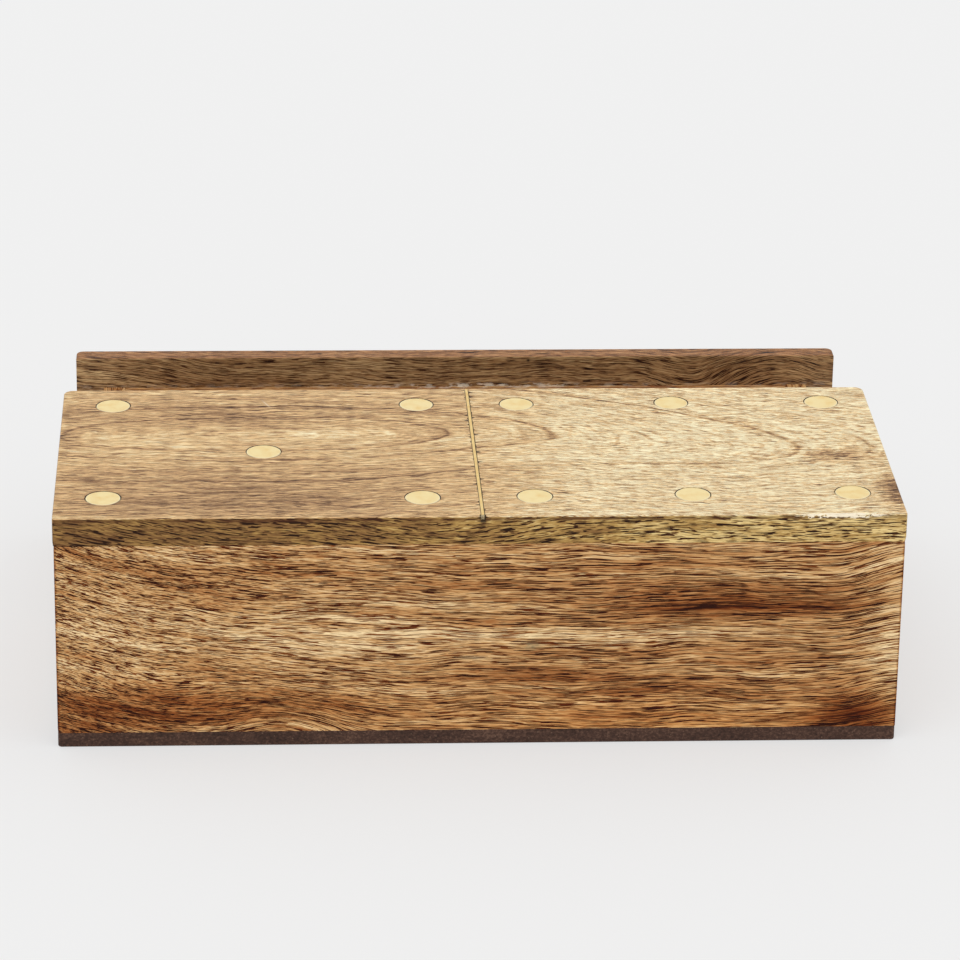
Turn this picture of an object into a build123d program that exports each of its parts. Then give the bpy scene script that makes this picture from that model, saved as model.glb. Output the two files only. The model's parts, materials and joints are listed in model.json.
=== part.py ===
from build123d import *
import os

# A wooden domino box: a sleeve whose top is laid out as a domino in brass, and a drawer that
# pulls out of its back. +X runs along the box, +Y the way the drawer comes out, +Z up. The
# origin is the centre of the sleeve's underside. Everything is in millimetres.

os.makedirs("parts", exist_ok=True)

# The sleeve: four boards round a cavity that is open at the back.
SLEEVE_LENGTH = 216.0
SLEEVE_DEPTH = 89.0
SLEEVE_HEIGHT = 63.5
TOP_THICKNESS = 7.5
TOP_OVERHANG = 0.25             # past each end wall
TOP_BACK_RADIUS = 2.5           # the two rounded corners over the drawer
TOP_FRONT_RADIUS = 0.8
BASE_THICKNESS = 4.0
BASE_CORNER_RADIUS = 1.0
WALL_THICKNESS = 8.0
ARRIS = 0.35                    # sanded edge of a wooden board

# The inlay in the top board. The discs were drilled by hand, so they wander from a true grid.
PIP_RADIUS = 4.55
PIP_DEPTH = 3.0
PIP_EDGE = 0.15
GLUE_LINE = 0.1                 # dark gap round a disc
LEFT_PIPS = ((-94.8, 33.0), (-13.7, 33.0), (-54.8, 0.0), (-95.8, -30.8), (-14.5, -31.6))
RIGHT_PIPS = ((13.2, 33.0), (55.0, 33.4), (95.6, 33.4), (14.2, -31.2), (54.8, -30.6), (96.0, -30.0))
DIVIDER_X = 0.3
DIVIDER_WIDTH = 1.0
DIVIDER_HEIGHT = 1.4
DIVIDER_SHORT = 0.8             # the strip stops this far from the front edge
KERF_WIDTH = 1.2
KERF_DEPTH = 1.5

# The drawer, modelled partly pulled out.
DRAWER_OPEN = 52.0
FACE_LENGTH = 213.6
FACE_THICKNESS = 6.0
FACE_CORNER_RADIUS = 2.0
FACE_TOP_GAP = 0.9              # under the top board
DRAWER_LIFT = 0.3               # sliding gap over the base board
SIDE_GAP = 0.8                  # between a drawer side and an end wall
REAR_GAP = 1.0                  # between the shut drawer and the long wall
SEAT_GAP = 0.2                  # between the shut face and the end walls
DRAWER_WALL = 6.0
DRAWER_BOTTOM = 3.0
RIM_DROP = 8.7                  # the drawer walls end this far below the top of the face

# Knob and fasteners.
KNOB_LENGTH = 14.0
KNOB_BASE_RADIUS = 5.0
KNOB_NECK_RADIUS = 2.8
KNOB_HEAD_RADIUS = 6.0
SCREW_RADIUS = 1.5
SCREW_HEAD_RADIUS = 3.0
SCREW_HEAD_DEPTH = SCREW_HEAD_RADIUS - SCREW_RADIUS      # a right-angled cone
SCREW_BITE = 8.0                # length of the screw inside the knob
SCREW_CLEARANCE = 0.05
SLOT_WIDTH = 0.7
BRAD_RADIUS = 0.6
BRAD_HEAD_RADIUS = 1.1
BRAD_HEAD_DEPTH = 0.5
BRAD_LENGTH = 12.0
BRAD_TIP = 1.5
FACE_BRAD_LENGTH = 10.0
BRAD_SINK = 0.2                 # heads are punched below the surface
BRAD_CLEARANCE = 0.05

# Levels and lines worked out from the sizes above.
CEILING = SLEEVE_HEIGHT - TOP_THICKNESS
CAVITY_FRONT = -SLEEVE_DEPTH / 2 + WALL_THICKNESS
CAVITY_HALF = SLEEVE_LENGTH / 2 - WALL_THICKNESS
END_WALL_BACK = SLEEVE_DEPTH / 2 - FACE_THICKNESS - SEAT_GAP
FACE_INNER = SLEEVE_DEPTH / 2 - FACE_THICKNESS + DRAWER_OPEN
FACE_OUTER = FACE_INNER + FACE_THICKNESS
FACE_TOP = CEILING - FACE_TOP_GAP
DRAWER_UNDERSIDE = BASE_THICKNESS + DRAWER_LIFT
DRAWER_FLOOR = DRAWER_UNDERSIDE + DRAWER_BOTTOM
RIM = FACE_TOP - RIM_DROP
TRAY_REAR = CAVITY_FRONT + REAR_GAP + DRAWER_OPEN       # outside of the rear wall
TRAY_HALF = CAVITY_HALF - SIDE_GAP                      # outside of a side
TRAY_DEPTH = FACE_INNER - TRAY_REAR
INNER_HALF = TRAY_HALF - DRAWER_WALL
KNOB_Z = (DRAWER_UNDERSIDE + FACE_TOP) / 2


def save(piece, label):
    """Label a finished piece and write it as parts/LABEL.step."""
    piece.part.label = label
    export_step(piece.part, f"parts/{label}.step")


def drive_brads(planes, length):
    """Add one headed nail under each plane to the part being built."""
    top = (Align.CENTER, Align.CENTER, Align.MAX)
    shank_end = BRAD_SINK + length - BRAD_TIP
    with Locations(*[plane.offset(-BRAD_SINK) for plane in planes]):
        Cylinder(BRAD_HEAD_RADIUS, BRAD_HEAD_DEPTH, align=top)
        Cylinder(BRAD_RADIUS, length - BRAD_TIP, align=top)
    with Locations(*[plane.offset(-shank_end) for plane in planes]):
        Cone(BRAD_RADIUS / 4, BRAD_RADIUS, BRAD_TIP, align=top)


def cut_brad_holes(planes, length):
    """Cut the hole of each nail in the part being built."""
    head_floor = BRAD_SINK + BRAD_HEAD_DEPTH + BRAD_CLEARANCE
    with Locations(*planes):
        CounterBoreHole(
            BRAD_RADIUS + BRAD_CLEARANCE,
            BRAD_HEAD_RADIUS + BRAD_CLEARANCE,
            head_floor,
            depth=BRAD_SINK + length,
        )


# Where the nails go, as planes that face out of the nailed surface.
down = (0, 0, -1)
long_wall_y = -SLEEVE_DEPTH / 2 + WALL_THICKNESS / 2
end_wall_x = CAVITY_HALF + WALL_THICKNESS / 2
base_nails = [Plane(origin=(x, long_wall_y, 0), z_dir=down) for x in (-92, -31, 31, 92)]
base_nails += [Plane(origin=(s * end_wall_x, y, 0), z_dir=down) for s in (-1, 1) for y in (-10, 24)]

rear_wall_y = TRAY_REAR + DRAWER_WALL / 2
outer_wall_y = FACE_INNER - DRAWER_WALL / 2
side_x = INNER_HALF + DRAWER_WALL / 2
tray_middle_y = (TRAY_REAR + FACE_INNER) / 2
bottom_nail_spots = [(x, y) for y in (rear_wall_y, outer_wall_y) for x in (-62, 0, 62)]
bottom_nail_spots += [(-side_x, tray_middle_y), (side_x, tray_middle_y)]
bottom_nails = [Plane(origin=(x, y, DRAWER_UNDERSIDE), z_dir=down) for x, y in bottom_nail_spots]

corner_nail_levels = (DRAWER_FLOOR + 8, RIM - 8)
corner_nails = {
    s: [
        Plane(origin=(s * TRAY_HALF, y, z), z_dir=(s, 0, 0))
        for y in (rear_wall_y, outer_wall_y)
        for z in corner_nail_levels
    ]
    for s in (-1, 1)
}
face_nail_y = FACE_INNER - DRAWER_WALL
face_nails = [Plane(origin=(x, face_nail_y, KNOB_Z), z_dir=(0, -1, 0)) for x in (-78, -30, 30, 78)]

# ---- The sleeve ----

# Top board, with a blind hole for each disc and a saw kerf for the divider.
with BuildPart() as top_board:
    with BuildSketch(Plane.XY.offset(CEILING)):
        Rectangle(SLEEVE_LENGTH + 2 * TOP_OVERHANG, SLEEVE_DEPTH)
    extrude(amount=TOP_THICKNESS)
    fillet(top_board.edges().filter_by(Axis.Z).group_by(Axis.Y)[-1], TOP_BACK_RADIUS)
    fillet(top_board.edges().filter_by(Axis.Z).group_by(Axis.Y)[0], TOP_FRONT_RADIUS)
    fillet(top_board.edges().group_by(Axis.Z)[-1], ARRIS)
    with BuildSketch(Plane.XY.offset(SLEEVE_HEIGHT)):
        with Locations(*LEFT_PIPS, *RIGHT_PIPS):
            Circle(PIP_RADIUS + GLUE_LINE)
    extrude(amount=-PIP_DEPTH, mode=Mode.SUBTRACT)
    with BuildSketch(Plane.XY.offset(SLEEVE_HEIGHT)):
        with Locations((DIVIDER_X, 0)):
            Rectangle(KERF_WIDTH, SLEEVE_DEPTH)
    extrude(amount=-KERF_DEPTH, mode=Mode.SUBTRACT)
save(top_board, "top_board")

# Brass strip between the two halves. It lies on the floor of the kerf, just short of the front.
with BuildPart() as divider:
    with BuildSketch(Plane.XY.offset(SLEEVE_HEIGHT - KERF_DEPTH)):
        with Locations((DIVIDER_X, DIVIDER_SHORT / 2)):
            Rectangle(DIVIDER_WIDTH, SLEEVE_DEPTH - DIVIDER_SHORT)
    extrude(amount=DIVIDER_HEIGHT)
save(divider, "divider_strip")

# Brass discs, flush with the top.
for half, places in (("left", LEFT_PIPS), ("right", RIGHT_PIPS)):
    for number, place in enumerate(places, start=1):
        with BuildPart() as pip:
            with BuildSketch(Plane.XY.offset(SLEEVE_HEIGHT - PIP_DEPTH)):
                with Locations(place):
                    Circle(PIP_RADIUS)
            extrude(amount=PIP_DEPTH)
            chamfer(pip.edges().group_by(Axis.Z)[-1], PIP_EDGE)
        save(pip, f"pip_{half}_{number}")

# Long wall, the full length of the sleeve.
with BuildPart() as long_wall:
    with BuildSketch(Plane.XY.offset(BASE_THICKNESS)):
        with Locations((0, long_wall_y)):
            Rectangle(SLEEVE_LENGTH, WALL_THICKNESS)
    extrude(amount=CEILING - BASE_THICKNESS)
    fillet(long_wall.edges().filter_by(Axis.Z).group_by(Axis.Y)[0], ARRIS)
    cut_brad_holes(base_nails, BRAD_LENGTH)
save(long_wall, "long_wall")

# End walls, butted behind the long wall. They stop short so that the drawer's face covers them.
for end, s in (("left", -1), ("right", 1)):
    with BuildPart() as end_wall:
        with BuildSketch(Plane.XY.offset(BASE_THICKNESS)):
            with Locations((s * end_wall_x, (CAVITY_FRONT + END_WALL_BACK) / 2)):
                Rectangle(WALL_THICKNESS, END_WALL_BACK - CAVITY_FRONT)
        extrude(amount=CEILING - BASE_THICKNESS)
        fillet(end_wall.edges().filter_by(Axis.Z).group_by(Axis.Y)[-1], ARRIS)
        cut_brad_holes(base_nails, BRAD_LENGTH)
    save(end_wall, f"{end}_end_wall")

# Base board, glued and nailed up into the walls.
with BuildPart() as base_board:
    with BuildSketch():
        Rectangle(SLEEVE_LENGTH, SLEEVE_DEPTH)
    extrude(amount=BASE_THICKNESS)
    fillet(base_board.edges().filter_by(Axis.Z), BASE_CORNER_RADIUS)
    fillet(base_board.edges().group_by(Axis.Z)[0], ARRIS)
    cut_brad_holes(base_nails, BRAD_LENGTH)
save(base_board, "base_board")

with BuildPart() as base_brads:
    drive_brads(base_nails, BRAD_LENGTH)
save(base_brads, "base_brads")

# ---- The drawer ----

# Face board, drilled for the knob's screw.
knob_seat = Plane(origin=(0, FACE_OUTER, KNOB_Z), z_dir=(0, 1, 0))
with BuildPart() as face:
    with BuildSketch(Plane.XY.offset(DRAWER_UNDERSIDE)):
        with Locations((0, (FACE_INNER + FACE_OUTER) / 2)):
            Rectangle(FACE_LENGTH, FACE_THICKNESS)
    extrude(amount=FACE_TOP - DRAWER_UNDERSIDE)
    fillet(face.edges().filter_by(Axis.Z).group_by(Axis.Y)[-1], FACE_CORNER_RADIUS)
    fillet(face.edges().group_by(Axis.Z)[-1], ARRIS)
    fillet(face.edges().group_by(Axis.Z)[0], ARRIS)
    with Locations(knob_seat):
        Hole(SCREW_RADIUS + SCREW_CLEARANCE)
    cut_brad_holes(face_nails, FACE_BRAD_LENGTH)
save(face, "drawer_face")

# Long walls of the drawer, set between its sides. The outer one is glued to the face.
screw_seat = Plane(origin=(0, FACE_INNER - DRAWER_WALL, KNOB_Z), z_dir=(0, -1, 0))
for label, wall_y in (("drawer_outer_wall", outer_wall_y), ("drawer_inner_wall", rear_wall_y)):
    with BuildPart() as drawer_wall:
        with BuildSketch(Plane.XY.offset(DRAWER_FLOOR)):
            with Locations((0, wall_y)):
                Rectangle(2 * INNER_HALF, DRAWER_WALL)
        extrude(amount=RIM - DRAWER_FLOOR)
        rim_edges = drawer_wall.edges().group_by(Axis.Z)[-1].filter_by(Axis.X)
        fillet(rim_edges, ARRIS)
        cut_brad_holes(bottom_nails, BRAD_LENGTH)
        cut_brad_holes(corner_nails[-1] + corner_nails[1], BRAD_LENGTH)
        if label == "drawer_outer_wall":
            cut_brad_holes(face_nails, FACE_BRAD_LENGTH)
            with Locations(screw_seat):
                CounterSinkHole(
                    SCREW_RADIUS + SCREW_CLEARANCE,
                    SCREW_HEAD_RADIUS + SCREW_CLEARANCE,
                    counter_sink_angle=90,
                )
    save(drawer_wall, label)

# Sides of the drawer, run through from the rear to the face.
for end, s in (("left", -1), ("right", 1)):
    with BuildPart() as drawer_side:
        with BuildSketch(Plane.XY.offset(DRAWER_FLOOR)):
            with Locations((s * side_x, tray_middle_y)):
                Rectangle(DRAWER_WALL, TRAY_DEPTH)
        extrude(amount=RIM - DRAWER_FLOOR)
        fillet(drawer_side.edges().group_by(Axis.Z)[-1].filter_by(Axis.Y), ARRIS)
        fillet(drawer_side.edges().filter_by(Axis.Z).group_by(Axis.Y)[0], ARRIS)
        cut_brad_holes(bottom_nails, BRAD_LENGTH)
        cut_brad_holes(corner_nails[s], BRAD_LENGTH)
    save(drawer_side, f"drawer_{end}_side")

# Thin bottom under the four walls.
with BuildPart() as drawer_bottom:
    with BuildSketch(Plane.XY.offset(DRAWER_UNDERSIDE)):
        with Locations((0, tray_middle_y)):
            Rectangle(2 * TRAY_HALF, TRAY_DEPTH)
    extrude(amount=DRAWER_BOTTOM)
    fillet(drawer_bottom.edges().filter_by(Axis.Z).group_by(Axis.Y)[0], BASE_CORNER_RADIUS)
    cut_brad_holes(bottom_nails, BRAD_LENGTH)
save(drawer_bottom, "drawer_bottom")

with BuildPart() as bottom_brads:
    drive_brads(bottom_nails, BRAD_LENGTH)
save(bottom_brads, "drawer_bottom_brads")

with BuildPart() as corner_brads:
    drive_brads(corner_nails[-1] + corner_nails[1], BRAD_LENGTH)
save(corner_brads, "drawer_corner_brads")

with BuildPart() as face_brads:
    drive_brads(face_nails, FACE_BRAD_LENGTH)
save(face_brads, "drawer_face_brads")

# Turned brass knob: a foot, a narrow neck and a domed head, about the axis of its screw.
knob_profile = Plane(origin=(0, FACE_OUTER, KNOB_Z), x_dir=(1, 0, 0), z_dir=(0, 0, 1))
knob_axis = Axis(origin=(0, FACE_OUTER, KNOB_Z), direction=(0, 1, 0))
foot = (KNOB_BASE_RADIUS, 1.2)
neck = (KNOB_NECK_RADIUS, 4.2)
shoulder = (KNOB_HEAD_RADIUS, 9.4)
tip = (0, KNOB_LENGTH)
with BuildPart() as knob:
    with BuildSketch(knob_profile):
        with BuildLine():
            Polyline(tip, (0, 0), (KNOB_BASE_RADIUS, 0), foot)
            Spline(foot, neck, tangents=((-1, 0), (0, 1)))
            Spline(neck, shoulder, tangents=((0, 1), (0, 1)))
            Spline(shoulder, tip, tangents=((0, 1), (-1, 0)))
        make_face()
    revolve(axis=knob_axis)
    with Locations(Plane(origin=(0, FACE_OUTER, KNOB_Z), z_dir=(0, -1, 0))):
        Hole(SCREW_RADIUS + SCREW_CLEARANCE, depth=SCREW_BITE + SCREW_CLEARANCE)
save(knob, "knob")

# Screw that holds the knob, its slotted head sunk into the outer wall inside the drawer.
screw_length = DRAWER_WALL + FACE_THICKNESS + SCREW_BITE
screw_top = Plane(origin=(0, FACE_INNER - DRAWER_WALL, KNOB_Z), z_dir=(0, 1, 0))
with BuildPart() as screw:
    with BuildSketch(screw_top):
        Circle(SCREW_RADIUS)
    extrude(amount=screw_length)
    with Locations(screw_top):
        Cone(
            SCREW_HEAD_RADIUS,
            SCREW_RADIUS,
            SCREW_HEAD_DEPTH,
            align=(Align.CENTER, Align.CENTER, Align.MIN),
        )
        Box(
            2 * SCREW_HEAD_RADIUS,
            SLOT_WIDTH,
            SCREW_HEAD_DEPTH,
            align=(Align.CENTER, Align.CENTER, Align.CENTER),
            mode=Mode.SUBTRACT,
        )
save(screw, "knob_screw")
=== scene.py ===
import json
import math

import bmesh
import bpy
from mathutils import Matrix, Vector, noise
from mathutils.geometry import delaunay_2d_cdt

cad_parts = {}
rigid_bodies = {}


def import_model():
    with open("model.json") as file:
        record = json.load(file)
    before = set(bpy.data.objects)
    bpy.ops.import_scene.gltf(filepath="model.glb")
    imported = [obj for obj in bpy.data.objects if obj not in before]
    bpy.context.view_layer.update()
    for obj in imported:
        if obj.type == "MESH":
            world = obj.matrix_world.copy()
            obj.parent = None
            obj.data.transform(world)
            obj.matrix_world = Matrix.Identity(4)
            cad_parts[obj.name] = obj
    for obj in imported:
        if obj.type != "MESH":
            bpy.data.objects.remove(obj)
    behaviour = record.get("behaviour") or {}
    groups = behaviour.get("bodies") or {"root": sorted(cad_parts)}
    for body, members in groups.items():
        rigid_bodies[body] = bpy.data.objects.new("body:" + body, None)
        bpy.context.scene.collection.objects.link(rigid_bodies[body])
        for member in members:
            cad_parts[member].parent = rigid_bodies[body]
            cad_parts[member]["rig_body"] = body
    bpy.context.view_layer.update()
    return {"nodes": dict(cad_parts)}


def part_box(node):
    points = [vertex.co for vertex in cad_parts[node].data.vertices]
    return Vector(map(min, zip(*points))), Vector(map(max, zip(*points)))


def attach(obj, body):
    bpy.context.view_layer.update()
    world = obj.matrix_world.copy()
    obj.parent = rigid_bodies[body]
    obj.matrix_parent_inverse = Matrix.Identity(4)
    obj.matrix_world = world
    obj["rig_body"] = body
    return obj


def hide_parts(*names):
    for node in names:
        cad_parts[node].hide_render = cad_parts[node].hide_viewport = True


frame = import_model()

MM = 0.001                      # lengths below are in millimetres unless they say metres
X, Y, Z = 0, 1, 2
nodes = frame["nodes"]


def middle_of(node):
    """The middle of a node's box, in millimetres."""
    low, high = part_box(node)
    return (low + high) / 2 / MM


PIPS = [middle_of(name) for name in nodes if name.startswith("pip_")]
PIP_HOLE = (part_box("pip_left_1")[1].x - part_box("pip_left_1")[0].x) / 2 / MM
PIP_REACH = PIP_HOLE + 1.0      # anything nearer a pip's middle than this belongs to its hole
DIVIDER_X = middle_of("divider_strip").x
BOARD_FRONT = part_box("top_board")[0].y / MM
BOARD_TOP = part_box("top_board")[1].z / MM


# ---------------------------------------------------------------- shader fields

def linear(rgb):
    """An 8-bit screen colour as linear RGBA."""
    steps = [c / 255 for c in rgb]
    return [c / 12.92 if c <= 0.04045 else ((c + 0.055) / 1.055) ** 2.4 for c in steps] + [1.0]


class Field:
    """A number that varies over a surface, with ordinary arithmetic."""

    def __init__(self, graph, socket):
        self.graph = graph
        self.socket = socket

    def __add__(self, other):
        return self.graph.math("ADD", self, other)

    def __radd__(self, other):
        return self.graph.math("ADD", other, self)

    def __sub__(self, other):
        return self.graph.math("SUBTRACT", self, other)

    def __rsub__(self, other):
        return self.graph.math("SUBTRACT", other, self)

    def __mul__(self, other):
        return self.graph.math("MULTIPLY", self, other)

    def __truediv__(self, other):
        return self.graph.math("DIVIDE", self, other)

    def __neg__(self):
        return self.graph.math("MULTIPLY", self, -1.0)


MIX_COLOURS = (6, 7)            # the Mix node's two colour inputs
MIX_RESULT = 2                  # and its colour output


class Graph:
    """One material's node tree. x, y and z are the place on the object, in millimetres."""

    def __init__(self, name):
        self.material = bpy.data.materials.new(name)
        self.material.use_nodes = True
        self.tree = self.material.node_tree
        self.tree.nodes.clear()
        coordinates = self.node("ShaderNodeTexCoord")
        place = self.node("ShaderNodeSeparateXYZ", Vector=coordinates.outputs["Object"])
        self.x, self.y, self.z = (Field(self, axis) / MM for axis in place.outputs)
        facing = self.node("ShaderNodeSeparateXYZ", Vector=coordinates.outputs["Normal"])
        self.facing = [Field(self, axis) for axis in facing.outputs]

    def node(self, kind, settings=None, **inputs):
        made = self.tree.nodes.new(kind)
        for key, value in (settings or {}).items():
            setattr(made, key, value)
        for key, value in inputs.items():
            self.plug(made.inputs[key.replace("_", " ")], value)
        return made

    def plug(self, socket, value):
        if isinstance(value, Field):
            value = value.socket
        if isinstance(value, bpy.types.NodeSocket):
            self.tree.links.new(value, socket)
        else:
            socket.default_value = value

    def math(self, operation, *values, clamp=False):
        made = self.tree.nodes.new("ShaderNodeMath")
        made.operation = operation
        made.use_clamp = clamp
        for socket, value in zip(made.inputs, values):
            self.plug(socket, value)
        return Field(self, made.outputs[0])

    def root(self, value):
        """The square root, or 0 below 0."""
        return self.math("SQRT", self.math("MAXIMUM", value, 0.0))

    def bell(self, value, centre, width):
        """1 at centre, falling smoothly to nothing about two widths away."""
        away = (value - centre) / width
        return self.math("EXPONENT", -(away * away))

    def patch(self, u, v, centre, size):
        """1 at centre, falling smoothly to nothing round an ellipse."""
        du = (u - centre[0]) / size[0]
        dv = (v - centre[1]) / size[1]
        return self.math("EXPONENT", -(du * du + dv * dv))

    def patches(self, u, v, table):
        """The sum of patches, each given as (u, v, half length, half width, strength)."""
        total = 0.0
        for *place, strength in table:
            total = self.patch(u, v, place[:2], place[2:]) * strength + total
        return total

    def smooth(self, value, start, end):
        """0 before start, 1 past end."""
        made = self.node("ShaderNodeMapRange", {"interpolation_type": "SMOOTHSTEP"}, Value=value)
        made.inputs["From Min"].default_value = start
        made.inputs["From Max"].default_value = end
        return Field(self, made.outputs["Result"])

    def vector(self, u, v, w):
        return self.node("ShaderNodeCombineXYZ", X=u, Y=v, Z=w).outputs[0]

    def noise(self, u, v, w=0.0, detail=2.0, roughness=0.5, distortion=0.0):
        """Soft noise, mostly from -1 to 1, with a period of one unit of u, v and w."""
        made = self.node(
            "ShaderNodeTexNoise", Vector=self.vector(u, v, w), Scale=1.0,
            Detail=detail, Roughness=roughness, Distortion=distortion,
        )
        return (Field(self, made.outputs["Fac"]) - 0.5) * 4.0

    def cells(self, u, v, w, size, edge):
        """1 inside scattered blobs of radius size, one to a unit cell, and 0 between them."""
        made = self.node("ShaderNodeTexVoronoi", Vector=self.vector(u, v, w), Scale=1.0)
        distance = Field(self, made.outputs["Distance"])
        return self.math("MULTIPLY", (size - distance) / edge, 1.0, clamp=True)

    def ramp(self, value, stops):
        """The colour at value between stops, which are (position, 8-bit screen colour)."""
        made = self.node("ShaderNodeValToRGB", Fac=value)
        elements = made.color_ramp.elements
        while len(elements) < len(stops):
            elements.new(0.5)
        for element, (position, rgb) in zip(elements, stops):
            element.position = position
            element.color = linear(rgb)
        return made.outputs["Color"]

    def mix(self, share, first, second, blend="MIX"):
        """From the first colour towards the second. A tuple is an 8-bit screen colour."""
        made = self.tree.nodes.new("ShaderNodeMix")
        made.data_type = "RGBA"
        made.blend_type = blend
        made.clamp_factor = True
        self.plug(made.inputs[0], share)
        colours = [made.inputs[number] for number in MIX_COLOURS]
        for socket, value in zip(colours, (first, second)):
            self.plug(socket, linear(value) if isinstance(value, tuple) else value)
        return made.outputs[MIX_RESULT]

    def finish(self, colour, height, relief, roughness, **sockets):
        """Principled surface. height is 0 to 1 over relief millimetres of depth."""
        bump = self.node("ShaderNodeBump", Height=height, Distance=relief * MM)
        shader = self.node("ShaderNodeBsdfPrincipled", Base_Color=colour, Roughness=roughness)
        self.plug(shader.inputs["Normal"], bump.outputs[0])
        for key, value in sockets.items():
            self.plug(shader.inputs[key.replace("_", " ")], value)
        output = self.node("ShaderNodeOutputMaterial")
        self.plug(output.inputs["Surface"], shader.outputs[0])
        return self.material


# ---------------------------------------------------------------- wood

# Ramps from the darkest vessel to the brightest streak, as (tone, 8-bit screen colour).
TOP_PALETTE = ((0.0, (72, 43, 26)), (0.2, (136, 98, 66)), (0.4, (188, 148, 103)),
               (0.55, (217, 175, 124)), (0.75, (241, 207, 151)), (1.0, (255, 244, 204)))
WALL_PALETTE = ((0.0, (44, 12, 2)), (0.2, (98, 40, 7)), (0.4, (150, 90, 44)),
                (0.55, (179, 123, 72)), (0.75, (211, 165, 109)), (1.0, (250, 222, 172)))
EDGE_PALETTE = ((0.0, (40, 20, 7)), (0.2, (76, 42, 18)), (0.4, (122, 87, 51)),
                (0.55, (147, 110, 62)), (0.75, (182, 145, 82)), (1.0, (234, 206, 142)))
DARK_PALETTE = ((0.0, (38, 16, 4)), (0.2, (78, 45, 21)), (0.4, (117, 81, 48)),
                (0.55, (143, 105, 68)), (0.75, (170, 133, 90)), (1.0, (208, 175, 126)))
# dark joints round the inlays, and painted shade on the walls of their holes and of the saw cut
JOINT_DARK_AND_SHADE = (52, 32, 22)
RUBBED_ARRIS = (78, 42, 24)
FRESH_WOOD = (252, 238, 210)
SCRATCH_PALE = (240, 226, 200)
SMUDGE = (112, 104, 78)
SPOT = (24, 14, 8)
DRIED_GLUE = (238, 228, 210)
OIL_TINT = (255, 238, 216)
SAWN_TINT = (255, 226, 214)

# Lighter (+) and darker (-) areas: their middle, half length, half width and strength.
TOP_TONES = (
    (-62, -32, 46, 13, -0.27),      # along the front, left of the divider
    (-66, 28, 40, 10, -0.2),        # along the back, left of the divider
    (-38, 12, 22, 4, 0.2),          # the heart of the figure
    (-88, 8, 16, 9, 0.12),          # beyond the heart, towards the left end
    (60, 5, 38, 14, 0.08),          # inside the large arch
    (110, -29, 6, 12, -0.75),       # the stained right end
)
WALL_TONES = (
    (-26, 30, 46, 7, 0.15),         # the pale middle
    (-88, 34, 26, 12, 0.12),        # the pale left end
    (-40, 47, 60, 4, -0.1),         # a soft brown band high on the left
    (66, 38.8, 48, 5.4, -0.28),     # the brown band on the right
    (48, 29.5, 34, 3.2, 0.09),      # a pale stripe under it
    (76, 23, 26, 3.2, -0.12),       # a thinner band under the stripe
    (22, 19, 36, 3.6, -0.2),        # the brown band at the middle
    (-88, 9.5, 32, 6.6, -0.36),     # the lower left corner
    (98, 7.5, 12, 6.5, -0.5),       # the lower right corner
    (108, 30, 8, 18, 0.26),         # the pale right end
)
WALL_OILED = (
    (50, 6, 62, 9, 1.0),            # low on the right
    (-60, 12, 50, 6, 0.6),          # low on the left
)
FACE_TONES = (
    (-98, 50, 10, 3, 0.18),         # the pale left end
    (-66, 47, 20, 4, -0.1),         # a dark place beside it
    (-40, 51, 34, 2.4, 0.1),        # a pale streak along the top
    (-26, 50, 24, 6, 0.05),         # a wider pale area round that streak
    (80, 50, 9, 4, -0.12),          # a dark place near the right end
)
# The bands, figure and vessels of the plain boards, as grain() takes them.
PLAIN = {"streak": (44, 1.3, 0.24), "fibre": (4.6, 0.32, 0.15), "pore": (8.5, 0.36, 0.46)}


def grain(g, along, across, deep, tone, palette, streak, fibre, pore, crowd=0.0):
    """Colour and height of planed wood.

    along, across and deep are millimetres with, across and into the grain. streak, fibre and
    pore are (length, width, strength) of the broad bands, the fine figure and the dark dashes
    of the open vessels. crowd above 0 packs the vessels closer.
    """
    length, width, strength = streak
    streaks = g.noise(along / length, across / width, deep / width, detail=5, roughness=0.68)
    tone = tone + streaks * strength
    length, width, strength = fibre
    fibres = g.noise(along / length, across / width, deep / width, detail=3, roughness=0.6)
    tone = tone + fibres * strength
    length, width, strength = pore
    crowd = g.noise(along / 9, across / 3.0, deep / 3.0, detail=2) * 0.06 + crowd
    dashes = g.noise(along / length, across / width, deep / width, detail=1)
    fine = g.noise(along / length * 1.6, across / width * 1.35, deep / width + 9.0, detail=1)
    vessels = g.smooth(dashes + crowd, 0.26, 0.42)
    slits = g.smooth(fine + crowd, 0.3, 0.52) * 0.75
    open_pores = g.math("MAXIMUM", vessels, slits)
    tone = tone - open_pores * strength
    height = (fibres * 0.1 + 0.85) - open_pores * 0.6
    return g.ramp(tone, palette), height


HEART_X, HEART_Y = -57.0, 11.5  # the middle of the top's rings at their left end
HEART_DROP = 11.3               # how far their centre line sinks towards the right end
RING_STRETCH = 4.6              # their length over their width
# The dark lines among the rings, as (radius, width, darkness).
RING_LINES = ((11.1, 0.2, 0.26), (17.1, 0.22, 0.34), (31.0, 0.24, 0.42))


def top_rings(g):
    """Growth rings of the top: the distance from their centre line, their radius and the angle."""
    x, y = g.x, g.y
    wobble = g.noise(x / 26, y / 14, 0.0, detail=2) * 1.1 + g.noise(x / 5, y / 3, 7.0) * 0.4
    dy = y - (HEART_Y - g.smooth(x, 0.0, 86.0) * HEART_DROP) + wobble
    below = g.smooth(dy, 0.6, -0.6)
    widen = 0.68 + below * (0.25 + g.smooth(x, -40.0, 50.0))
    du = (x - HEART_X) / RING_STRETCH
    rings = g.root(du * du + widen * dy * dy)
    turn = g.math("ABSOLUTE", g.math("ARCTAN2", dy * g.root(widen), du))
    return dy, rings, turn


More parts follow.
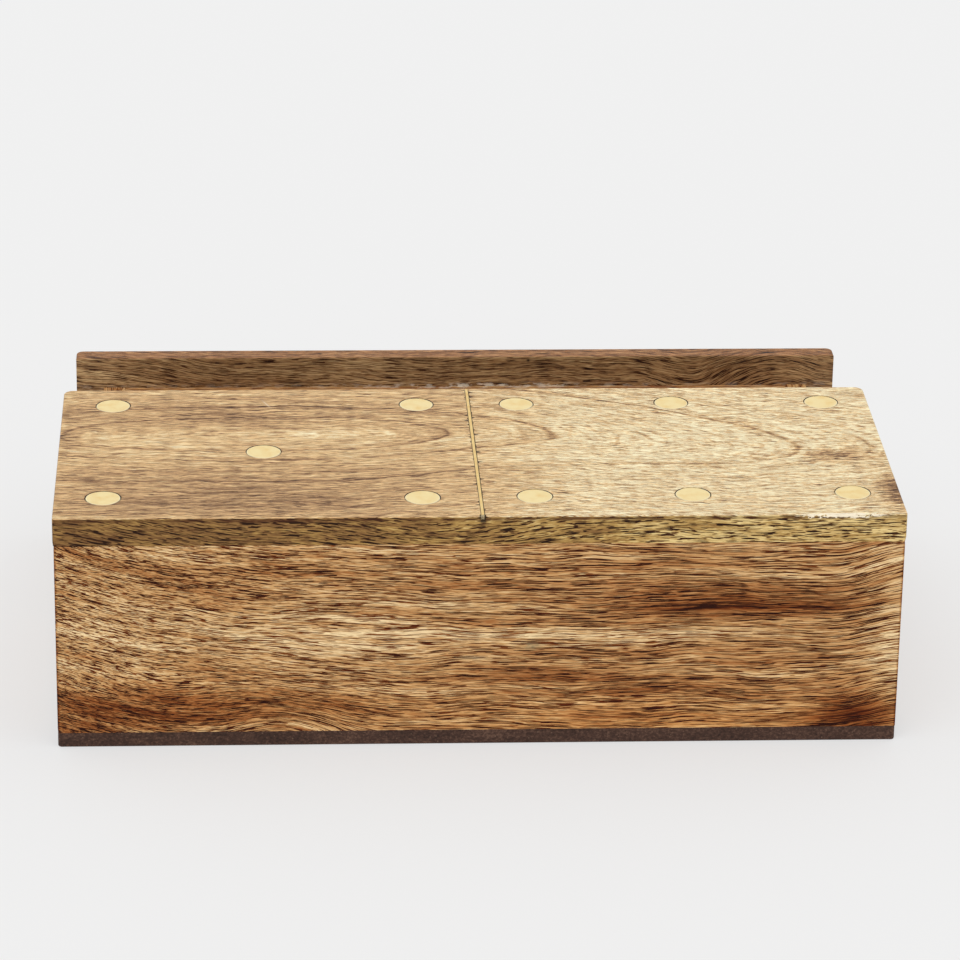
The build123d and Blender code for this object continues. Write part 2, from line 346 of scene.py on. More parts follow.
def top_face(g):
    """The figured top: dark ring lines with dotted arches between them, and a few stains."""
    x, y = g.x, g.y
    dy, rings, turn = top_rings(g)
    right = g.smooth(x, -14.0, 36.0)

    tone = 0.66 + right * 0.25 + g.patches(x, y, TOP_TONES)
    streaky = g.smooth(g.noise(x / 9, y / 0.9, 6.0, detail=2), -0.5, 0.5) * 0.4 + 0.25
    tone = tone - g.patch(x, y, (96, -4.6), (9, 4.4)) * streaky
    tone = tone - g.bell(y, -14.0, 5.0) * g.smooth(x, 10.0, -30.0) * 0.1
    tone = tone + g.noise(x / 24, rings / 1.2, y / 12, detail=5, roughness=0.7) * 0.26

    phase = rings * 7.0 + g.noise(turn * 6.0, rings / 2.0, 5.0, detail=2) * 1.6
    arches = g.smooth(g.math("SINE", phase), 0.25, 0.9)
    dotted = g.smooth(g.noise(turn * 30.0, rings / 0.6, y / 9, detail=2), -0.3, 0.3)
    tone = tone - arches * dotted * (right * 0.17 + 0.07)
    broken = g.smooth(g.noise(turn * 22.0, y / 3, 9.0, detail=2), -0.7, 0.4) * 0.8 + 0.2
    for radius, width, darkness in RING_LINES:
        inner = g.smooth(rings, radius - 2.2, radius) * g.smooth(rings, radius + 0.15, radius)
        tone = tone - g.bell(rings, radius, width) * broken * darkness - inner * 0.1

    ripple = g.noise(x / 1.1 + y / 1.3, y / 0.55 - x / 7, 3.0, detail=2, distortion=0.8)
    tone = tone + ripple * (right * 0.15 + 0.05)
    colour, height = grain(
        g, x, dy, 0.0, tone, TOP_PALETTE,
        streak=(26, 0.8, 0.24), fibre=(5.0, 0.24, 0.24), pore=(6.0, 0.28, right * 0.16 + 0.4),
    )
    scratch = g.patch(x + 54.0 + (y - 34.0) * 0.4, y, (0.0, 34.0), (0.22, 2.2))
    return g.mix(scratch * 0.6, colour, SCRATCH_PALE), height


def top_edge(g):
    """The sawn edges of the top board."""
    x, z = g.x, g.z
    slant = g.bell(x, -112.0, 40.0) * -9.0 + g.bell(x, -8.0, 22.0) * 3.5
    across = z + slant + g.noise(x / 34, z / 9) * 0.8
    tone = 0.55 + g.smooth(x, -40.0, 70.0) * 0.27 + g.noise(x / 18, z / 6, 4.0) * 0.16
    tone = tone + g.smooth(x, 62.0, 90.0) * 0.04 - g.bell(x, -66.0, 34.0) * 0.06
    darkness = g.smooth(x, -10.0, 30.0) * 0.26 + 0.6
    return grain(
        g, x, across, g.y, tone, EDGE_PALETTE,
        streak=(22, 1.2, 0.24), fibre=(2.4, 0.22, 0.24), pore=(5.0, 0.4, darkness), crowd=-0.06,
    )


def from_pips(g):
    """The distance to the middle of the nearest pip."""
    place = g.vector(g.x, g.y, 0.0)
    away = None
    for pip in PIPS:
        gap = g.node("ShaderNodeVectorMath", {"operation": "DISTANCE"})
        g.plug(gap.inputs[0], place)
        gap.inputs[1].default_value = (pip.x, pip.y, 0.0)
        distance = Field(g, gap.outputs["Value"])
        away = distance if away is None else g.math("MINIMUM", away, distance)
    return away


def inlay_seams_and_shade(g, on_face):
    """Where the wood round the inlays is dark.

    That is painted shade on the walls of the pip holes and of the saw cut, a patchy dark ring
    round each pip, ticks of torn wood beside the divider, and a darker patch at the notch where
    the cut meets the front edge.
    """
    away = from_pips(g)
    from_strip = g.math("ABSOLUTE", g.x - DIVIDER_X)
    side = g.smooth(g.x, DIVIDER_X - 0.3, DIVIDER_X + 0.3) * 5.0
    ticks = g.smooth(g.noise(g.y / 1.7, side, 8.0) - from_strip * 0.28, -0.02, 0.1)
    ticks = ticks * g.smooth(from_strip, 2.0, 1.2)
    patchy = g.smooth(g.noise(g.x / 2.2, g.y / 2.2, 4.0, detail=2), -0.5, 0.4)
    # a patchy dark ring round each pip, where its disc meets the wood
    dark_ring = g.bell(away, PIP_HOLE + 0.06, 0.13) * (patchy * 0.75 + 0.15)
    by_pip = g.smooth(away, PIP_REACH, PIP_HOLE + 0.5)
    beside = g.math("MAXIMUM", by_pip, g.smooth(from_strip, 2.4, 1.6))
    sunk = g.math("MAXIMUM", 1.0 - on_face, g.smooth(g.z, BOARD_TOP - 0.3, BOARD_TOP - 0.6))
    # painted shade: the walls of the pip holes and of the saw cut, below the top, are darkened as shade
    # in those narrow gaps
    shaded_gap_wall = beside * sunk * g.smooth(g.math("ABSOLUTE", g.facing[Y]), 0.95, 0.7)
    notch = g.patch(g.x, g.z, (DIVIDER_X, BOARD_TOP - 0.8), (0.7, 1.2)) * (1.0 - on_face)
    dark = g.math("MAXIMUM", shaded_gap_wall * 0.92, notch * 0.9)
    return g.math("MAXIMUM", g.math("MAXIMUM", dark_ring, ticks * 0.85) * on_face, dark)


def front_arris(g, colour):
    """The top's front edge: rubbed dark all along, with pale fresh wood where it has chipped."""
    to_edge = g.math("MAXIMUM", g.y - BOARD_FRONT, BOARD_TOP - g.z)
    broken = g.smooth(g.noise(g.x / 9, 0.0, 3.0, detail=3), -0.5, 0.3) * 0.6 + 0.2
    below = g.bell(BOARD_TOP - g.z, 0.7, 0.4) * g.smooth(g.y - BOARD_FRONT, 0.3, 0.1)
    colour = g.mix(below * broken, colour, RUBBED_ARRIS)
    ragged = g.noise(g.x / 1.5, g.y / 0.8, g.z / 0.8, detail=3, roughness=0.7)
    chipped = g.smooth(ragged + g.bell(g.x, 91.5, 9.0) * 0.9 - to_edge, -0.2, 0.1)
    chipped = chipped * g.smooth(g.x, 78.0, 84.0) * g.smooth(g.x, 104.0, 100.0)
    return g.mix(chipped * g.smooth(to_edge, 1.4, 0.8), colour, FRESH_WOOD)


def top_wood():
    """The top board: its figured face, its sawn edges, and the dark joints round the inlays with
    painted shade on the walls of their holes.
    """
    g = Graph("top_wood")
    face_colour, face_height = top_face(g)
    edge_colour, edge_height = top_edge(g)
    on_face = g.smooth(g.facing[Z], 0.45, 0.75)
    colour = g.mix(on_face, edge_colour, face_colour)
    height = edge_height + (face_height - edge_height) * on_face
    colour = front_arris(g, colour)
    # the dark joints round the inlays, with painted shade on the walls of their holes and of the saw
    # cut
    colour = g.mix(inlay_seams_and_shade(g, on_face), colour, JOINT_DARK_AND_SHADE)
    return g.finish(colour, height, 0.12, 0.5, Specular_IOR_Level=0.12)


def wall_wood():
    """The long wall: vessels slant down from the left end, level out and run to the right."""
    g = Graph("wall_wood")
    x, z = g.x, g.z
    near_end = g.math("EXPONENT", (x + 108.0) / -38.0)
    flow = near_end * -13.0 - g.smooth(x, 90.0, 112.0) * 3.0
    flow = flow + g.noise(x / 40, z / 20, 2.0, detail=1) * 1.2 + g.noise(x / 14, z / 7, 5.0) * 0.2
    flow = flow - g.patch(x, z, (-51, 3), (15, 10)) * 7.0
    across = z + flow
    along = x - near_end * 95.0

    tone = 0.705 + g.patches(x, z, WALL_TONES)
    tone = tone + g.noise(along / 80, across / 4.5, 6.0, detail=3) * 0.16
    tone = tone - g.smooth(g.math("ABSOLUTE", x), 107.2, 108.0) * 0.3
    colour, height = grain(
        g, along, across, g.y, tone, WALL_PALETTE,
        streak=(60, 1.5, 0.24), fibre=(5.0, 0.19, 0.24), pore=(9.0, 0.24, 0.68),
    )
    smudge = g.patch(x, z, (13.0, 27.6), (2.4, 1.2)) * (g.noise(x / 1.2, z / 0.8) * 0.4 + 0.55)
    colour = g.mix(smudge, colour, SMUDGE)
    colour = g.mix(g.patches(x, z, WALL_OILED), colour, OIL_TINT, "MULTIPLY")
    return g.finish(colour, height, 0.15, 0.52, Specular_IOR_Level=0.1)


def end_grain(g, along):
    """1 on the sawn ends of a board whose grain runs along an axis."""
    return g.smooth(g.math("ABSOLUTE", g.facing[along]), 0.6, 0.9)


def board_wood(name, along, across, deep, palette, base, pith):
    """Plain-sawn board with rings about a pith outside it. along, across and deep are axes."""
    g = Graph(name)
    place = (g.x, g.y, g.z)
    u, v, w = place[along], place[across], place[deep]
    drift = g.noise(u / 42, v / 18, w / 18, detail=2) * 2.2 + g.noise(u / 12, v / 8, w / 8) * 0.3
    dv = v - pith[0]
    dw = w - pith[1]
    ring = g.root(dv * dv + dw * dw) + drift
    end = end_grain(g, along)
    tone = base + g.noise(u / 70, ring / 1.8, 1.0, detail=4) * 0.2 - end * 0.14
    colour, height = grain(
        g, u + (v - w) * end * 6.0, v + w * 0.9 + drift, 0.0, tone, palette, **PLAIN
    )
    return g.finish(colour, height, 0.15, 0.55, Specular_IOR_Level=0.2)


def face_wood():
    """The drawer front: dark, with figure that leans one way at the left and waves at the right."""
    g = Graph("face_wood")
    x, y, z = g.x, g.y, g.z
    flow = g.math("EXPONENT", (x + 107.0) / -45.0) * -9.0
    flow = flow + g.noise(x / 40, z / 16, 8.0, detail=1) * 1.8 + g.noise(x / 11, z / 6, 3.0) * 0.35
    flow = flow + g.bell(x, 66.0, 10.0) * 3.0 - g.bell(x, 92.0, 13.0) * 4.0
    flow = flow - g.patch(x, z, (-34, 20), (16, 9)) * 6.0 + g.patch(x, z, (30, 16), (20, 8)) * 5.0
    across = z + y * 0.8 + flow
    end = end_grain(g, X)
    sawn = g.smooth(g.facing[Z], 0.6, 0.9)
    tone = 0.71 + g.patches(x, z, FACE_TONES) - g.smooth(x, 50.0, 70.0) * 0.04
    tone = tone - end * 0.14 + sawn * 0.03
    colour, height = grain(
        g, x + (y - z) * end * 6.0, across, 0.0, tone, DARK_PALETTE,
        streak=(40, 1.2, 0.3), fibre=(3.0, 0.22, 0.26), pore=(7.0, 0.3, 0.62),
    )
    colour = g.mix(sawn * 0.8, colour, SAWN_TINT, "MULTIPLY")
    spots = g.patch(x, z, (20.2, 54.0), (0.5, 0.5)) + g.patch(x, y, (-38.4, 93.4), (0.6, 0.4)) * sawn
    colour = g.mix(spots, colour, SPOT)
    colour = glue_marks(g, colour)
    saw_marks = g.math("SINE", x * 4.2 + g.noise(x / 6, y / 3) * 2.0) * sawn
    return g.finish(colour, height + saw_marks * 0.12, 0.15, 0.55, Specular_IOR_Level=0.2)


def glue_marks(g, colour):
    """Dried glue, wiped off the joint between the drawer's outer wall and its face."""
    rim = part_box("drawer_outer_wall")[1].z / MM
    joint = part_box("drawer_face")[0].y / MM
    smear = g.bell(g.z, rim + 0.1, 0.7) * g.bell(g.y, joint, 1.6)
    lumps = g.smooth(g.noise(g.x / 3.2, g.y / 2, g.z / 1.2, detail=4, roughness=0.7), -0.1, 0.35)
    near_middle = g.bell(g.x, 6.0, 28.0) * 0.8 + 0.14
    return g.mix(smear * lumps * near_middle, colour, DRIED_GLUE)


def drawer_wood():
    """The drawer's long walls. Their grain runs along X; the short ones have their own look."""
    g = Graph("drawer_long")
    x, y, z = g.x, g.y, g.z
    drift = g.noise(x / 50, z / 18, y / 18, detail=2) * 2.0
    end = end_grain(g, X)
    tone = 0.66 + g.noise(x / 70, z / 7, y / 9, detail=3) * 0.16 - end * 0.12
    colour, height = grain(
        g, x + (y - z) * end * 6.0, z + y * 0.9 + drift, 0.0, tone, WALL_PALETTE, **PLAIN
    )
    return g.finish(glue_marks(g, colour), height, 0.15, 0.58, Specular_IOR_Level=0.2)


# ---------------------------------------------------------------- paint and metal

PAINT_PALETTE = ((0.1, (38, 23, 16)), (0.5, (70, 47, 37)), (0.9, (110, 82, 66)))
PAINT_DUST = (122, 98, 80)
TARNISH = (0.96, 0.89, 0.76)    # how much of its red, green and blue brass keeps where cloudy
# painted highlight on the rounded rim of the brass
RIM_HIGHLIGHT = (255, 246, 214)
STEEL_BRIGHT, STEEL_DULL = (120, 112, 104), (84, 72, 62)


def painted_board():
    """Fibreboard under matte dark brown paint: a fine speckle and a few rubbed places."""
    g = Graph("base_fibreboard")
    speckle = g.noise(g.x / 0.7, g.y / 0.7, g.z / 0.5, detail=3, roughness=0.7)
    cloud = g.noise(g.x / 14, g.y / 14, g.z / 5, detail=3)
    dust = g.cells(g.x / 1.9, g.y / 1.9, g.z / 1.9, size=0.13, edge=0.06)
    tone = 0.47 + speckle * 0.36 + cloud * 0.16
    colour = g.mix(dust * 0.5, g.ramp(tone, PAINT_PALETTE), PAINT_DUST)
    return g.finish(colour, speckle * 0.3 + 0.5, 0.1, 0.72, Specular_IOR_Level=0.25)


def brass(name, rgb, roughness, scratch, metal):
    """Sanded brass: fine scratches along X, a faint cloudy tarnish and a painted highlight on its
    rounded rim.
    """
    g = Graph(name)
    lines = g.noise(g.x / 4.0, g.y / 0.09, g.z / 0.3, detail=2)
    cloud = g.noise(g.x / 3.2, g.y / 3.2, g.z / 3.2, detail=3)
    darker = tuple(round(c * share) for c, share in zip(rgb, TARNISH))
    colour = g.mix(0.15 + cloud * 0.5, rgb, darker)
    # painted highlight: paler where the surface turns over the rounded rim
    rim = g.smooth(g.facing[Z], 0.997, 0.98)
    colour = g.mix(rim * 0.55, colour, RIM_HIGHLIGHT)
    rough = roughness + cloud * 0.05 + lines * 0.03
    return g.finish(colour, lines * 0.4 + 0.5, scratch, rough, Metallic=metal)


def steel():
    """Nail heads: dull steel, darker in blotches."""
    g = Graph("brad_steel")
    cloud = g.noise(g.x / 0.6, g.y / 0.6, g.z / 0.6, detail=3)
    colour = g.mix(0.5 + cloud * 0.4, STEEL_BRIGHT, STEEL_DULL)
    return g.finish(colour, cloud * 0.5 + 0.5, 0.03, 0.45, Metallic=1.0)


LOOKS = {
    "top_wood": top_wood(),
    "wall_wood": wall_wood(),
    "end_wood": board_wood("end_wood", Y, Z, X, WALL_PALETTE, base=0.66, pith=(30.0, -25.0)),
    "face_wood": face_wood(),
    "drawer_long": drawer_wood(),
    "drawer_side": board_wood("drawer_side", Y, Z, X, WALL_PALETTE, base=0.66, pith=(80.0, 10.0)),
    "drawer_bottom": board_wood("drawer_bottom", X, Y, Z, EDGE_PALETTE, base=0.86, pith=(20.0, -90.0)),
    "base": painted_board(),
    "inlay": brass("inlay_brass", (250, 229, 170), roughness=0.45, scratch=0.02, metal=0.7),
    "strip": brass("strip_brass", (246, 214, 142), roughness=0.45, scratch=0.02, metal=0.7),
    "knob": brass("knob_brass", (236, 198, 120), roughness=0.3, scratch=0.01, metal=1.0),
    "steel": steel(),
}


# ---------------------------------------------------------------- pieces

SHARP_ANGLE = math.radians(32)  # faces that meet at more than this have a sharp edge


def stand(name, data):
    """Put an object into the scene."""
    made = bpy.data.objects.new(name, data)
    bpy.context.scene.collection.objects.link(made)
    return made


def make_piece(name, shape, look, node):
    """Turn a bmesh in metres into a piece that stands for a CAD node and rides on its body."""
    mesh = bpy.data.meshes.new(name)
    shape.to_mesh(mesh)
    rounded = [face.smooth for face in shape.faces]
    shape.free()
    mesh.set_sharp_from_angle(angle=SHARP_ANGLE)        # this makes every face smooth
    mesh.polygons.foreach_set("use_smooth", rounded)
    mesh.materials.append(LOOKS[look])
    piece = stand(name, mesh)
    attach(piece, nodes[node]["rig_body"])
    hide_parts(node)


BROAD = 200.0                   # square millimetres: a flat side over this is a board's face
EDGE_STEP = 1.3                 # between the points of a worn edge
FINE_STEP = 0.3                 # the same beside the divider, where the tears are small
ROUND_SHARE = 2.0               # a point moves at most this many lengths of its shortest edge
WELD = 0.001                    # points nearer than this are one
FLAT = math.radians(0.5)        # faces that meet at less than this are one
COPLANAR = 0.01                 # radians, between the triangles of one flat side
SAME_WAY = 0.9                  # cosine above which two directions count as one
CDT_INSIDE, CDT_GAP = 1, 1e-5   # fill inside the outline, and treat closer points as one


def broad_sides(shape):
    """The faces of each large flat side of a board."""
    sides = {}
    for face in shape.faces:
        normal = face.normal
        distance = round(normal.dot(face.verts[0].co) / (0.01 * MM))
        key = (*(round(part, 2) for part in normal), distance)
        sides.setdefault(key, []).append(face)
    large = BROAD * MM * MM
    return [faces for faces in sides.values() if sum(f.calc_area() for f in faces) > large]


def cut_finer(shape, is_fine):
    """Divide the long edges evenly, so that each strip of a rounded edge becomes a row of quads."""
    groups = {}
    for edge in shape.edges:
        middle = (edge.verts[0].co + edge.verts[1].co) / 2 / MM
        step = FINE_STEP if is_fine(middle) else EDGE_STEP
        cuts = round(edge.calc_length() / (step * MM)) - 1
        if cuts > 0:
            groups.setdefault(cuts, []).append(edge)
    for cuts, edges in groups.items():
        bmesh.ops.subdivide_edges(shape, edges=edges, cuts=cuts)
    for face in [face for face in shape.faces if len(face.verts) > 4]:
        normal = face.normal.copy()
        edges = list(face.edges)
        shape.faces.remove(face)
        fill_side(shape, edges, normal)


def enclosed(point, places, links):
    """Whether a point lies inside the loops that links draw between places."""
    crossings = 0
    for first, last in links:
        ax, ay = places[first]
        bx, by = places[last]
        if (ay > point.y) != (by > point.y):
            if point.x < ax + (point.y - ay) * (bx - ax) / (by - ay):
                crossings += 1
    return crossings % 2 == 1


def fill_side(shape, edges, normal):
    """Close a flat side with triangles between its edges, leaving its holes open."""
    verts = list(dict.fromkeys(vert for edge in edges for vert in edge.verts))
    number = {vert: i for i, vert in enumerate(verts)}
    turn = normal.rotation_difference(Vector((0, 0, 1)))
    places = [(turn @ (vert.co / MM)).xy for vert in verts]
    links = [tuple(number[vert] for vert in edge.verts) for edge in edges]
    points, _, triangles, sources, _, _ = delaunay_2d_cdt(places, links, [], CDT_INSIDE, CDT_GAP)
    made = []
    for triangle in triangles:
        middle = sum((points[i] for i in triangle), Vector((0, 0))) / 3
        if enclosed(middle, places, links):
            made.append(shape.faces.new([verts[sources[i][0]] for i in triangle]))
    return made


def edge_wear(wear, chips=()):
    """A function of the place that says how far an edge has worn there.

    The amount wanders about wear, with a bite at each chip of (place, width, depth).
    """
    def amount(place):
        slow = noise.noise(place / 9.0)
        quick = noise.noise(place / 1.1 + Vector((0.0, 0.0, 40.0)))
        depth = wear * max(0.05, 0.35 + slow * 0.6 + quick * 0.7)
        for spot, width, bite in chips:
            away = (place - spot).length / width
            depth += bite * math.exp(-away * away) * (0.75 + quick)
        return max(depth, 0.0)
    return amount


def take_off_sides(shape):
    """Remove the large flat sides of a board, and give the normal and a point of each."""
    sides = broad_sides(shape)
    planes = [(faces[0].normal.copy(), faces[0].verts[0].co.copy()) for faces in sides]
    removed = {face for faces in sides for face in faces}
    inside = [edge for edge in shape.edges if edge.calc_face_angle(1.0) < COPLANAR
              and all(face in removed for face in edge.link_faces)]
    bmesh.ops.delete(shape, geom=list(removed), context="FACES_ONLY")
    bmesh.ops.delete(shape, geom=inside, context="EDGES")
    return planes


def border_of(shape, normal, origin):
    """The open edges that lie in a plane."""
    return [edge for edge in shape.edges if len(edge.link_faces) < 2 and all(
        abs(normal.dot(vert.co - origin)) < WELD * MM for vert in edge.verts)]


def inward(edge, normal):
    """The direction in a side's plane from its open edge towards its middle."""
    loop = edge.link_loops[0]
    return normal.cross(loop.vert.co - loop.link_loop_next.vert.co).normalized()


def draw_back(borders, planes, amount):
    """Move the outlines of the open sides inwards by amount, each in its own plane."""
    moves = {}
    room = {}
    for border, (normal, _) in zip(borders, planes):
        for edge in border:
            if not edge.link_loops:
                continue
            way = inward(edge, normal)
            for vert in edge.verts:
                ways = moves.setdefault(vert, [])
                if all(way.dot(other) < SAME_WAY for other in ways):
                    ways.append(way)
                room[vert] = min(room.get(vert, 1.0), ROUND_SHARE * edge.calc_length())
    for vert, ways in moves.items():
        vert.co += sum(ways, Vector()) * min(amount(vert.co / MM) * MM, room[vert])


def wear_board(node, look, amount, is_fine=lambda place: False):
    """A copy of a board whose edges have drawn back by amount, a function of the place.

    Each large side is taken off, its outline is cut finer and moved in its own plane, and the
    side is filled again, so it stays flat.
    """
    shape = bmesh.new()
    shape.from_mesh(nodes[node].data)
    bmesh.ops.remove_doubles(shape, verts=shape.verts, dist=WELD * MM)
    bmesh.ops.dissolve_limit(shape, angle_limit=FLAT, verts=shape.verts, edges=shape.edges)
    shape.normal_update()
    planes = take_off_sides(shape)
    cut_finer(shape, is_fine)
    borders = [border_of(shape, *plane) for plane in planes]
    draw_back(borders, planes, amount)
    for face in shape.faces:
        face.smooth = True
    for edges, (normal, _) in zip(borders, planes):
        for face in fill_side(shape, edges, normal):
            face.smooth = False
    make_piece(f"worn_{node}", shape, look, node)


def loft(rings):
    """A smooth closed shape through rings of the same number of points."""
    shape = bmesh.new()
    rows = [[shape.verts.new(point) for point in ring] for ring in rings]
    count = len(rows[0])
    for low_row, high_row in zip(rows, rows[1:]):
        for i in range(count):
            j = (i + 1) % count
            shape.faces.new((low_row[i], low_row[j], high_row[j], high_row[i]))
    shape.faces.new(rows[0][::-1])
    shape.faces.new(rows[-1])
    bmesh.ops.recalc_face_normals(shape, faces=shape.faces)
    for face in shape.faces:
        face.smooth = True
    return shape


DISC_POINTS = 72
# A disc's outline from its foot to inside its rim: share of its radius, millimetres from its top.
DISC_PROFILE = ((1.0, None), (1.0, 0.2), (0.99, 0.07), (0.96, 0.01), (0.91, 0.0), (0.84, 0.05),
                (0.78, 0.06), (0.4, 0.06))


def inlay_disc(node):
    """A sawn brass disc: filed by hand, so its rim wanders, and faintly dished inside the rim."""
    low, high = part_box(node)
    centre = (low + high) / 2
    radius = (high.x - low.x) / 2
    rings = []
    for share, depth in DISC_PROFILE:
        level = low.z if depth is None else high.z - depth * MM
        ring = []
        for i in range(DISC_POINTS):
            angle = 2 * math.pi * i / DISC_POINTS
            out = Vector((math.cos(angle), math.sin(angle), 0))
            trim = 0.012 + 0.02 * noise.noise(out * 1.6 + centre / MM)
            ring.append(Vector((centre.x, centre.y, level)) + out * radius * share * (1 - max(trim, 0)))
        rings.append(ring)
    make_piece(f"{node}_disc", loft(rings), "inlay", node)


STRIP_STATIONS = 90
STRIP_SET_BACK = 0.9            # from the board's front edge to the strip's front end
STRIP_ROUND = 0.12              # its softened top edges


def inlay_strip(node):
    """The divider: thin brass with softened top edges that waver along its length."""
    low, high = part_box(node)
    half = (high.x - low.x) / 2
    middle = (high.x + low.x) / 2
    front = low.y + STRIP_SET_BACK * MM
    soft = STRIP_ROUND * MM
    rings = []
    for i in range(STRIP_STATIONS + 1):
        y = front + (high.y - front) * i / STRIP_STATIONS
        left = half * (0.93 - 0.08 * noise.noise(Vector((y / (5 * MM), 0, 3))))
        right = half * (0.93 - 0.08 * noise.noise(Vector((y / (4 * MM), 8, 3))))
        top = high.z - (0.05 + 0.05 * noise.noise(Vector((y / (7 * MM), 4, 4)))) * MM
        outline = ((-left, low.z), (right, low.z), (right, top - soft), (right - soft, top),
                   (soft - left, top), (-left, top - soft))
        rings.append([Vector((middle + x, y, z)) for x, z in outline])
    make_piece("divider_inlay", loft(rings), "strip", node)


# Board, look, material slot, and how far its edges have worn, in millimetres.
BOARDS = (
    ("long_wall", "wall_wood", "wall_wood", 0.3),
    ("left_end_wall", "end_wood", "wall_wood", 0.3),
    ("right_end_wall", "end_wood", "wall_wood", 0.3),
    ("base_board", "base", "base_fibreboard", 0.45),
    ("drawer_face", "face_wood", "face_wood", 0.4),
    ("drawer_outer_wall", "drawer_long", "drawer_wood", 0.25),
    ("drawer_inner_wall", "drawer_long", "drawer_wood", 0.25),
    ("drawer_left_side", "drawer_side", "drawer_wood", 0.25),
    ("drawer_right_side", "drawer_side", "drawer_wood", 0.25),
    ("drawer_bottom", "drawer_bottom", "drawer_bottom_wood", 0.3),
)
for board, look, slot, wear in BOARDS:
    wear_board(board, look, edge_wear(wear))


def by_the_divider(place):
    return abs(place.x - DIVIDER_X) < 1.0


def by_a_pip(place):
    return min((place - pip).xy.length for pip in PIPS) < PIP_REACH


# Chips on the top's front edge: place along X, width and depth.
CHIPS = ((89.5, 1.0, 0.7), (94.0, 1.6, 0.9), (99.5, 0.8, 0.6), (41.0, 1.2, 0.4), (-37.0, 1.4, 0.4))


TEAR_LENGTH = 1.1
TEAR_ABOVE = 0.24               # the wood is torn where the noise is above this
TEAR_DEPTH = 3.4                # for each unit of noise above it
NOTCH_WIDTH, NOTCH_DEPTH = 0.9, 0.4


def kerf_wear(place):
    """Small tears along both sides of the saw cut, and a rounded notch at its front end."""
    side = 20.0 if place.x > DIVIDER_X else 0.0
    tear = noise.noise(Vector((place.y / TEAR_LENGTH, side, 3.0))) - TEAR_ABOVE
    at_front = math.exp(-((place.y - BOARD_FRONT) / NOTCH_WIDTH) ** 2)
    fuzz = noise.noise(place / 0.7) * 0.02
    if abs(place.y) > -BOARD_FRONT - 0.1:
        return fuzz + 0.02
    return fuzz - 0.06 + max(tear, 0.0) * TEAR_DEPTH + at_front * NOTCH_DEPTH


def top_wear():
    """How far the top board's edges have worn, as a function of the place."""
    chips = [(Vector((x, BOARD_FRONT, BOARD_TOP)), width, depth) for x, width, depth in CHIPS]
    outer = edge_wear(0.32, chips)

    def amount(place):
        if by_the_divider(place):
            return kerf_wear(place)
        if by_a_pip(place):
            return 0.03 + 0.06 * noise.noise(place / 1.6)
        return outer(place)
    return amount


wear_board("top_board", "top_wood", top_wear(), by_the_divider)
inlay_strip("divider_strip")

for name, node in nodes.items():
    if name.startswith("pip_"):
        inlay_disc(name)
    elif name.endswith("_brads") or name.startswith("knob"):
        node.data.materials.clear()
        node.data.materials.append(LOOKS["steel" if name.endswith("_brads") else "knob"])


# ---------------------------------------------------------------- floor, light and camera

FLOOR_HALF = 3.0                # metres
FLOOR_DROP = 0.05               # below the box's foot, so the two never share a plane
FLOOR_GREY, FLOOR_GLOW = 0.34, 0.52
SKY_STRENGTH = 0.9
# Soft lamps: name, azimuth from the front and elevation in degrees, strength, spread in degrees.
LAMPS = (("key", -35, 55, 0.45, 40), ("fill", 60, 35, 0.15, 60))
CAMERA_AZIMUTH, CAMERA_ELEVATION, CAMERA_ROLL = (math.radians(a) for a in (-3.31, 22.49, 0.93))
CAMERA_DISTANCE = 1149
CAMERA_TARGET = Vector((1.9, 0, 55.1))
CAMERA_LENS = 164.1
CAMERA_SEES = 100               # metres


def towards(azimuth, elevation):
    """The direction from the object to something, with azimuth 0 in front of it."""
    return Vector((
        math.sin(azimuth) * math.cos(elevation),
        -math.cos(azimuth) * math.cos(elevation),
        math.sin(elevation),
    ))


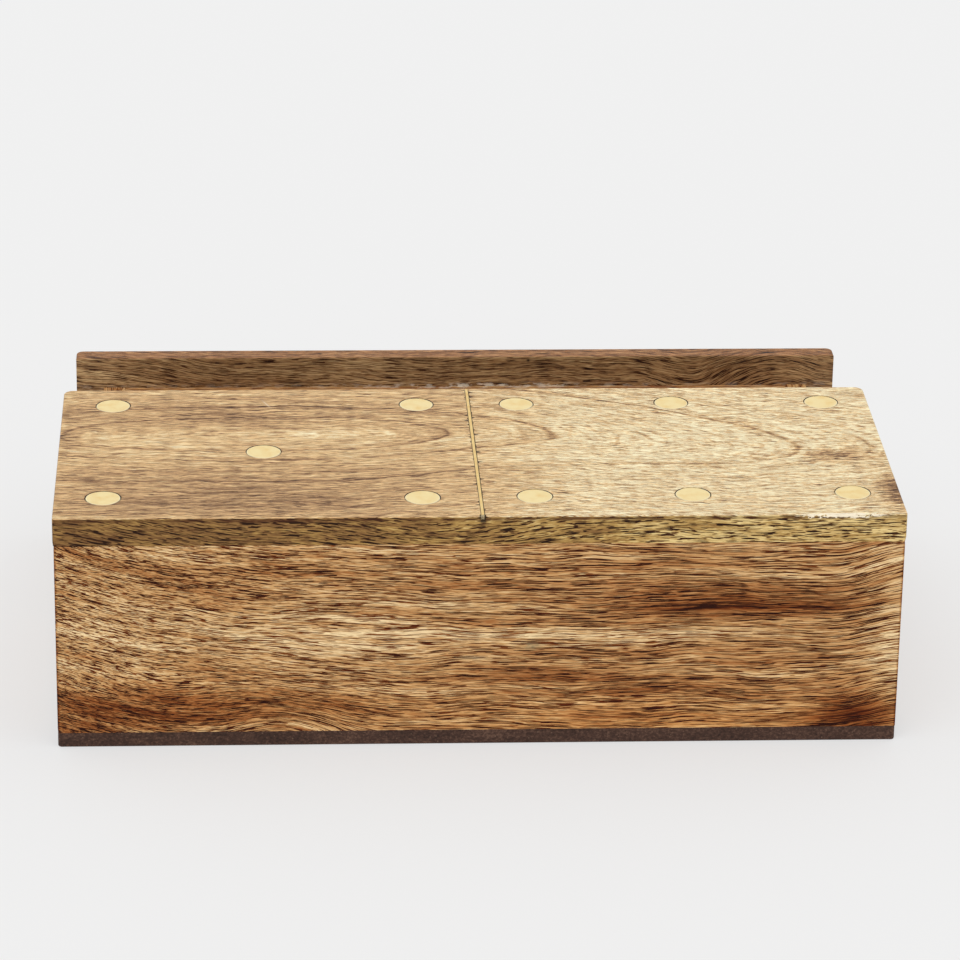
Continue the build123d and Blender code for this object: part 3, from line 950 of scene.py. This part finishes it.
def make_floor():
    """A plain pale floor that gives off part of its light itself, so its shadows are faint."""
    mesh = bpy.data.meshes.new("floor")
    corners = [(x * FLOOR_HALF, y * FLOOR_HALF, 0) for x, y in ((-1, -1), (1, -1), (1, 1), (-1, 1))]
    mesh.from_pydata(corners, [], [(0, 1, 2, 3)])
    floor = stand("floor", mesh)
    material = bpy.data.materials.new("floor")
    material.use_nodes = True
    shader = material.node_tree.nodes["Principled BSDF"]
    shader.inputs["Base Color"].default_value = (FLOOR_GREY, FLOOR_GREY, FLOOR_GREY, 1)
    shader.inputs["Roughness"].default_value = 1.0
    shader.inputs["Specular IOR Level"].default_value = 0.0
    shader.inputs["Emission Color"].default_value = (1, 1, 1, 1)
    shader.inputs["Emission Strength"].default_value = FLOOR_GLOW
    mesh.materials.append(material)
    floor.location.z = -FLOOR_DROP * MM


def make_lights():
    world = bpy.data.worlds.new("studio")
    bpy.context.scene.world = world
    world.use_nodes = True
    background = world.node_tree.nodes["Background"]
    background.inputs["Color"].default_value = (1, 1, 1, 1)
    background.inputs["Strength"].default_value = SKY_STRENGTH
    for name, azimuth, elevation, strength, spread in LAMPS:
        lamp = bpy.data.lights.new(name, "SUN")
        lamp.energy = strength
        lamp.angle = math.radians(spread)
        sun = stand(name, lamp)
        sun.rotation_mode = "QUATERNION"
        way = towards(math.radians(azimuth), math.radians(elevation))
        sun.rotation_quaternion = way.to_track_quat("Z", "Y")


def make_camera():
    """A long lens a little above the front, turned slightly to the left."""
    back = towards(CAMERA_AZIMUTH, CAMERA_ELEVATION)
    right = (-back).cross(Vector((0, 0, 1))).normalized()
    up = right.cross(-back)
    turned_right = right * math.cos(CAMERA_ROLL) + up * math.sin(CAMERA_ROLL)
    turned_up = up * math.cos(CAMERA_ROLL) - right * math.sin(CAMERA_ROLL)
    lens = bpy.data.cameras.new("camera")
    lens.lens = CAMERA_LENS
    lens.clip_end = CAMERA_SEES
    camera = stand("camera", lens)
    rotation = Matrix((turned_right, turned_up, back)).transposed()
    place = (CAMERA_TARGET + back * CAMERA_DISTANCE) * MM
    camera.matrix_world = Matrix.Translation(place) @ rotation.to_4x4()
    bpy.context.scene.camera = camera


make_floor()
make_lights()
make_camera()
bpy.context.scene.view_settings.view_transform = "Standard"
